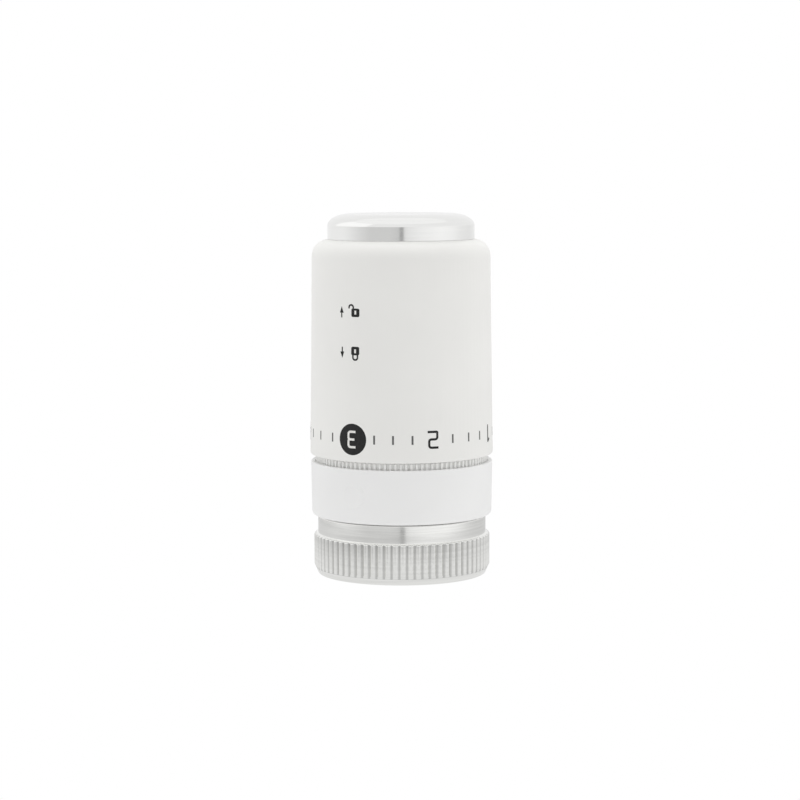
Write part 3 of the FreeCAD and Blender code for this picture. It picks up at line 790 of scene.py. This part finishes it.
def graded_glow(name):
    """Light whose level is stored along the sheet that gives it."""
    material = glow(name, 1.0)
    tree = material.node_tree
    levels = tree.nodes.new("ShaderNodeAttribute")
    levels.attribute_name = "level"
    tree.links.new(levels.outputs["Fac"], tree.nodes["Emission"].inputs["Strength"])
    return material


def toward(azimuth, distance, height):
    """Point at an azimuth from the camera's side of the object, in metres."""
    angle = math.radians(CAMERA_AZIMUTH + azimuth)
    return distance * math.sin(angle), -distance * math.cos(angle), height


def tent_level(azimuth):
    """Brightness of the tent: dim on the camera's left, dimmest behind the camera, bright on its right."""
    for (first, level), (last, following) in zip(TENT_LEVELS, TENT_LEVELS[1:]):
        if azimuth <= last:
            return level + (following - level) * (azimuth - first) / (last - first)
    return TENT_LEVELS[-1][1]


def add_stage(name, points, faces, material, levels=None):
    """Glowing part of the studio, with a level at each point where it is graded."""
    mesh = bpy.data.meshes.new(name)
    mesh.from_pydata(points, [], faces)
    if levels is not None:
        mesh.attributes.new("level", "FLOAT", "POINT").data.foreach_set("value", levels)
    mesh.materials.append(material)
    part = bpy.data.objects.new(name, mesh)
    bpy.context.scene.collection.objects.link(part)
    return part


def make_sheet(name, distance, first, last, low, high, level=None):
    """Curved studio sheet round the object; it is graded like the tent where no level is given."""
    columns = between(first, last, 1 + last - first)
    points = [toward(azimuth, distance, height) for height in (low, high) for azimuth in columns]
    count = len(columns)
    faces = [(index, index + 1, count + index + 1, count + index) for index in range(count - 1)]
    if level is None:
        levels = [tent_level(azimuth) for azimuth in columns] * 2
        sheet = add_stage(name, points, faces, graded_glow(name), levels)
    else:
        sheet = add_stage(name, points, faces, glow(name, level))
    sheet.visible_camera = False
    return sheet


def make_ground(name, height, reach, level):
    """Flat glowing square at a height."""
    corners = ((-reach, -reach), (reach, -reach), (reach, reach), (-reach, reach))
    return add_stage(name, [(*corner, height) for corner in corners], [(0, 1, 2, 3)], glow(name, level))


def make_mirrored_floor():
    """Sheet just under the floor that only metal sees: even near the object, graded like the tent beyond."""
    columns = between(-180, 179, 360)
    points = []
    levels = []
    for distance, grading in FLOOR_RINGS:
        for azimuth in columns:
            points.append(toward(azimuth, distance, UNDER_FLOOR))
            far_level = FLOOR_BASE + FLOOR_GRADING * tent_level(azimuth)
            levels.append(FLOOR_NEAR + grading * (far_level - FLOOR_NEAR))
    count = len(columns)
    faces = []
    for ring in range(len(FLOOR_RINGS) - 1):
        start = ring * count
        for index in range(count):
            following = (index + 1) % count
            faces.append((start + index, start + following, start + count + following, start + count + index))
    mirrored = add_stage("floor_mirrored", points, faces, graded_glow("floor_mirrored"), levels)
    mirrored.visible_camera = False
    mirrored.visible_diffuse = False


def make_floor():
    """Plain white floor; the metal mirrors a dimmer sheet that lies just under it."""
    floor = make_ground("floor", 0.0, 3.0, 1.0)
    floor.visible_glossy = False
    make_mirrored_floor()


def make_light():
    """White room: a tent that is dimmer on the camera's side, a soft box, a shading flag and a top light."""
    world = bpy.data.worlds.new("white_room")
    world.use_nodes = True
    world.node_tree.nodes["Background"].inputs["Color"].default_value = (1, 1, 1, 1)
    world.node_tree.nodes["Background"].inputs["Strength"].default_value = 1.0
    bpy.context.scene.world = world
    make_sheet("tent", TENT_DISTANCE, -180, 180, -0.01, TENT_STEP)
    make_sheet("tent_upper", TENT_DISTANCE, -180, 180, TENT_STEP, TENT_TOP, UPPER_LEVEL)
    make_sheet("soft_box_left", SOFT_BOX_DISTANCE, *SOFT_BOX_SPAN, TENT_STEP, SOFT_BOX_TOP, SOFT_BOX_LEVEL)
    flag = make_sheet("flag_front_left", FLAG_DISTANCE, *FLAG_SPAN, 0.0, FLAG_TOP, FLAG_LEVEL)
    flag.visible_glossy = False
    overhead = make_ground("overhead", OVERHEAD_HEIGHT, OVERHEAD_REACH, OVERHEAD_LEVEL)
    overhead.visible_glossy = False
    overhead.visible_camera = False


def make_camera():
    """Camera on the side where the number 2 shows, looking slightly down at the object's middle."""
    data = bpy.data.cameras.new("camera")
    data.lens = CAMERA_LENS
    data.sensor_width = CAMERA_SENSOR
    data.clip_end = CAMERA_CLIP_END
    camera = bpy.data.objects.new("camera", data)
    azimuth = math.radians(CAMERA_AZIMUTH)
    elevation = math.radians(CAMERA_ELEVATION)
    outward = Vector((math.sin(azimuth) * math.cos(elevation), -math.cos(azimuth) * math.cos(elevation),
                      math.sin(elevation)))
    to_right = Vector((math.cos(azimuth), math.sin(azimuth), 0))
    camera.location = (Vector((0, 0, CAMERA_TARGET_HEIGHT)) + outward * CAMERA_DISTANCE
                       - to_right * CAMERA_SIDE_STEP)
    level = (-outward).to_track_quat("-Z", "Y")
    camera.rotation_euler = (level @ Quaternion((0, 0, 1), math.radians(-CAMERA_ROLL))).to_euler()
    bpy.context.scene.collection.objects.link(camera)
    bpy.context.scene.camera = camera
    bpy.context.scene.view_settings.view_transform = "Standard"


def main():
    """Dress the frame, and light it."""
    finishes = make_finishes()
    finish_cad_nodes(finishes)
    make_dial(finishes["white_dial"])
    make_cap(finishes["cap_chrome"])
    make_base_ring(finishes["white_base"])
    make_index_mark(finishes["white_base"])
    make_nut(finishes["nut_chrome"])
    make_spring(finishes["spring_steel"])
    make_scale(finishes["ink"], finishes["pale_ink"], finishes["grey_ink"])
    make_icons(finishes["ink"], finishes["pale_ink"])
    make_floor()
    make_light()
    make_camera()


main()
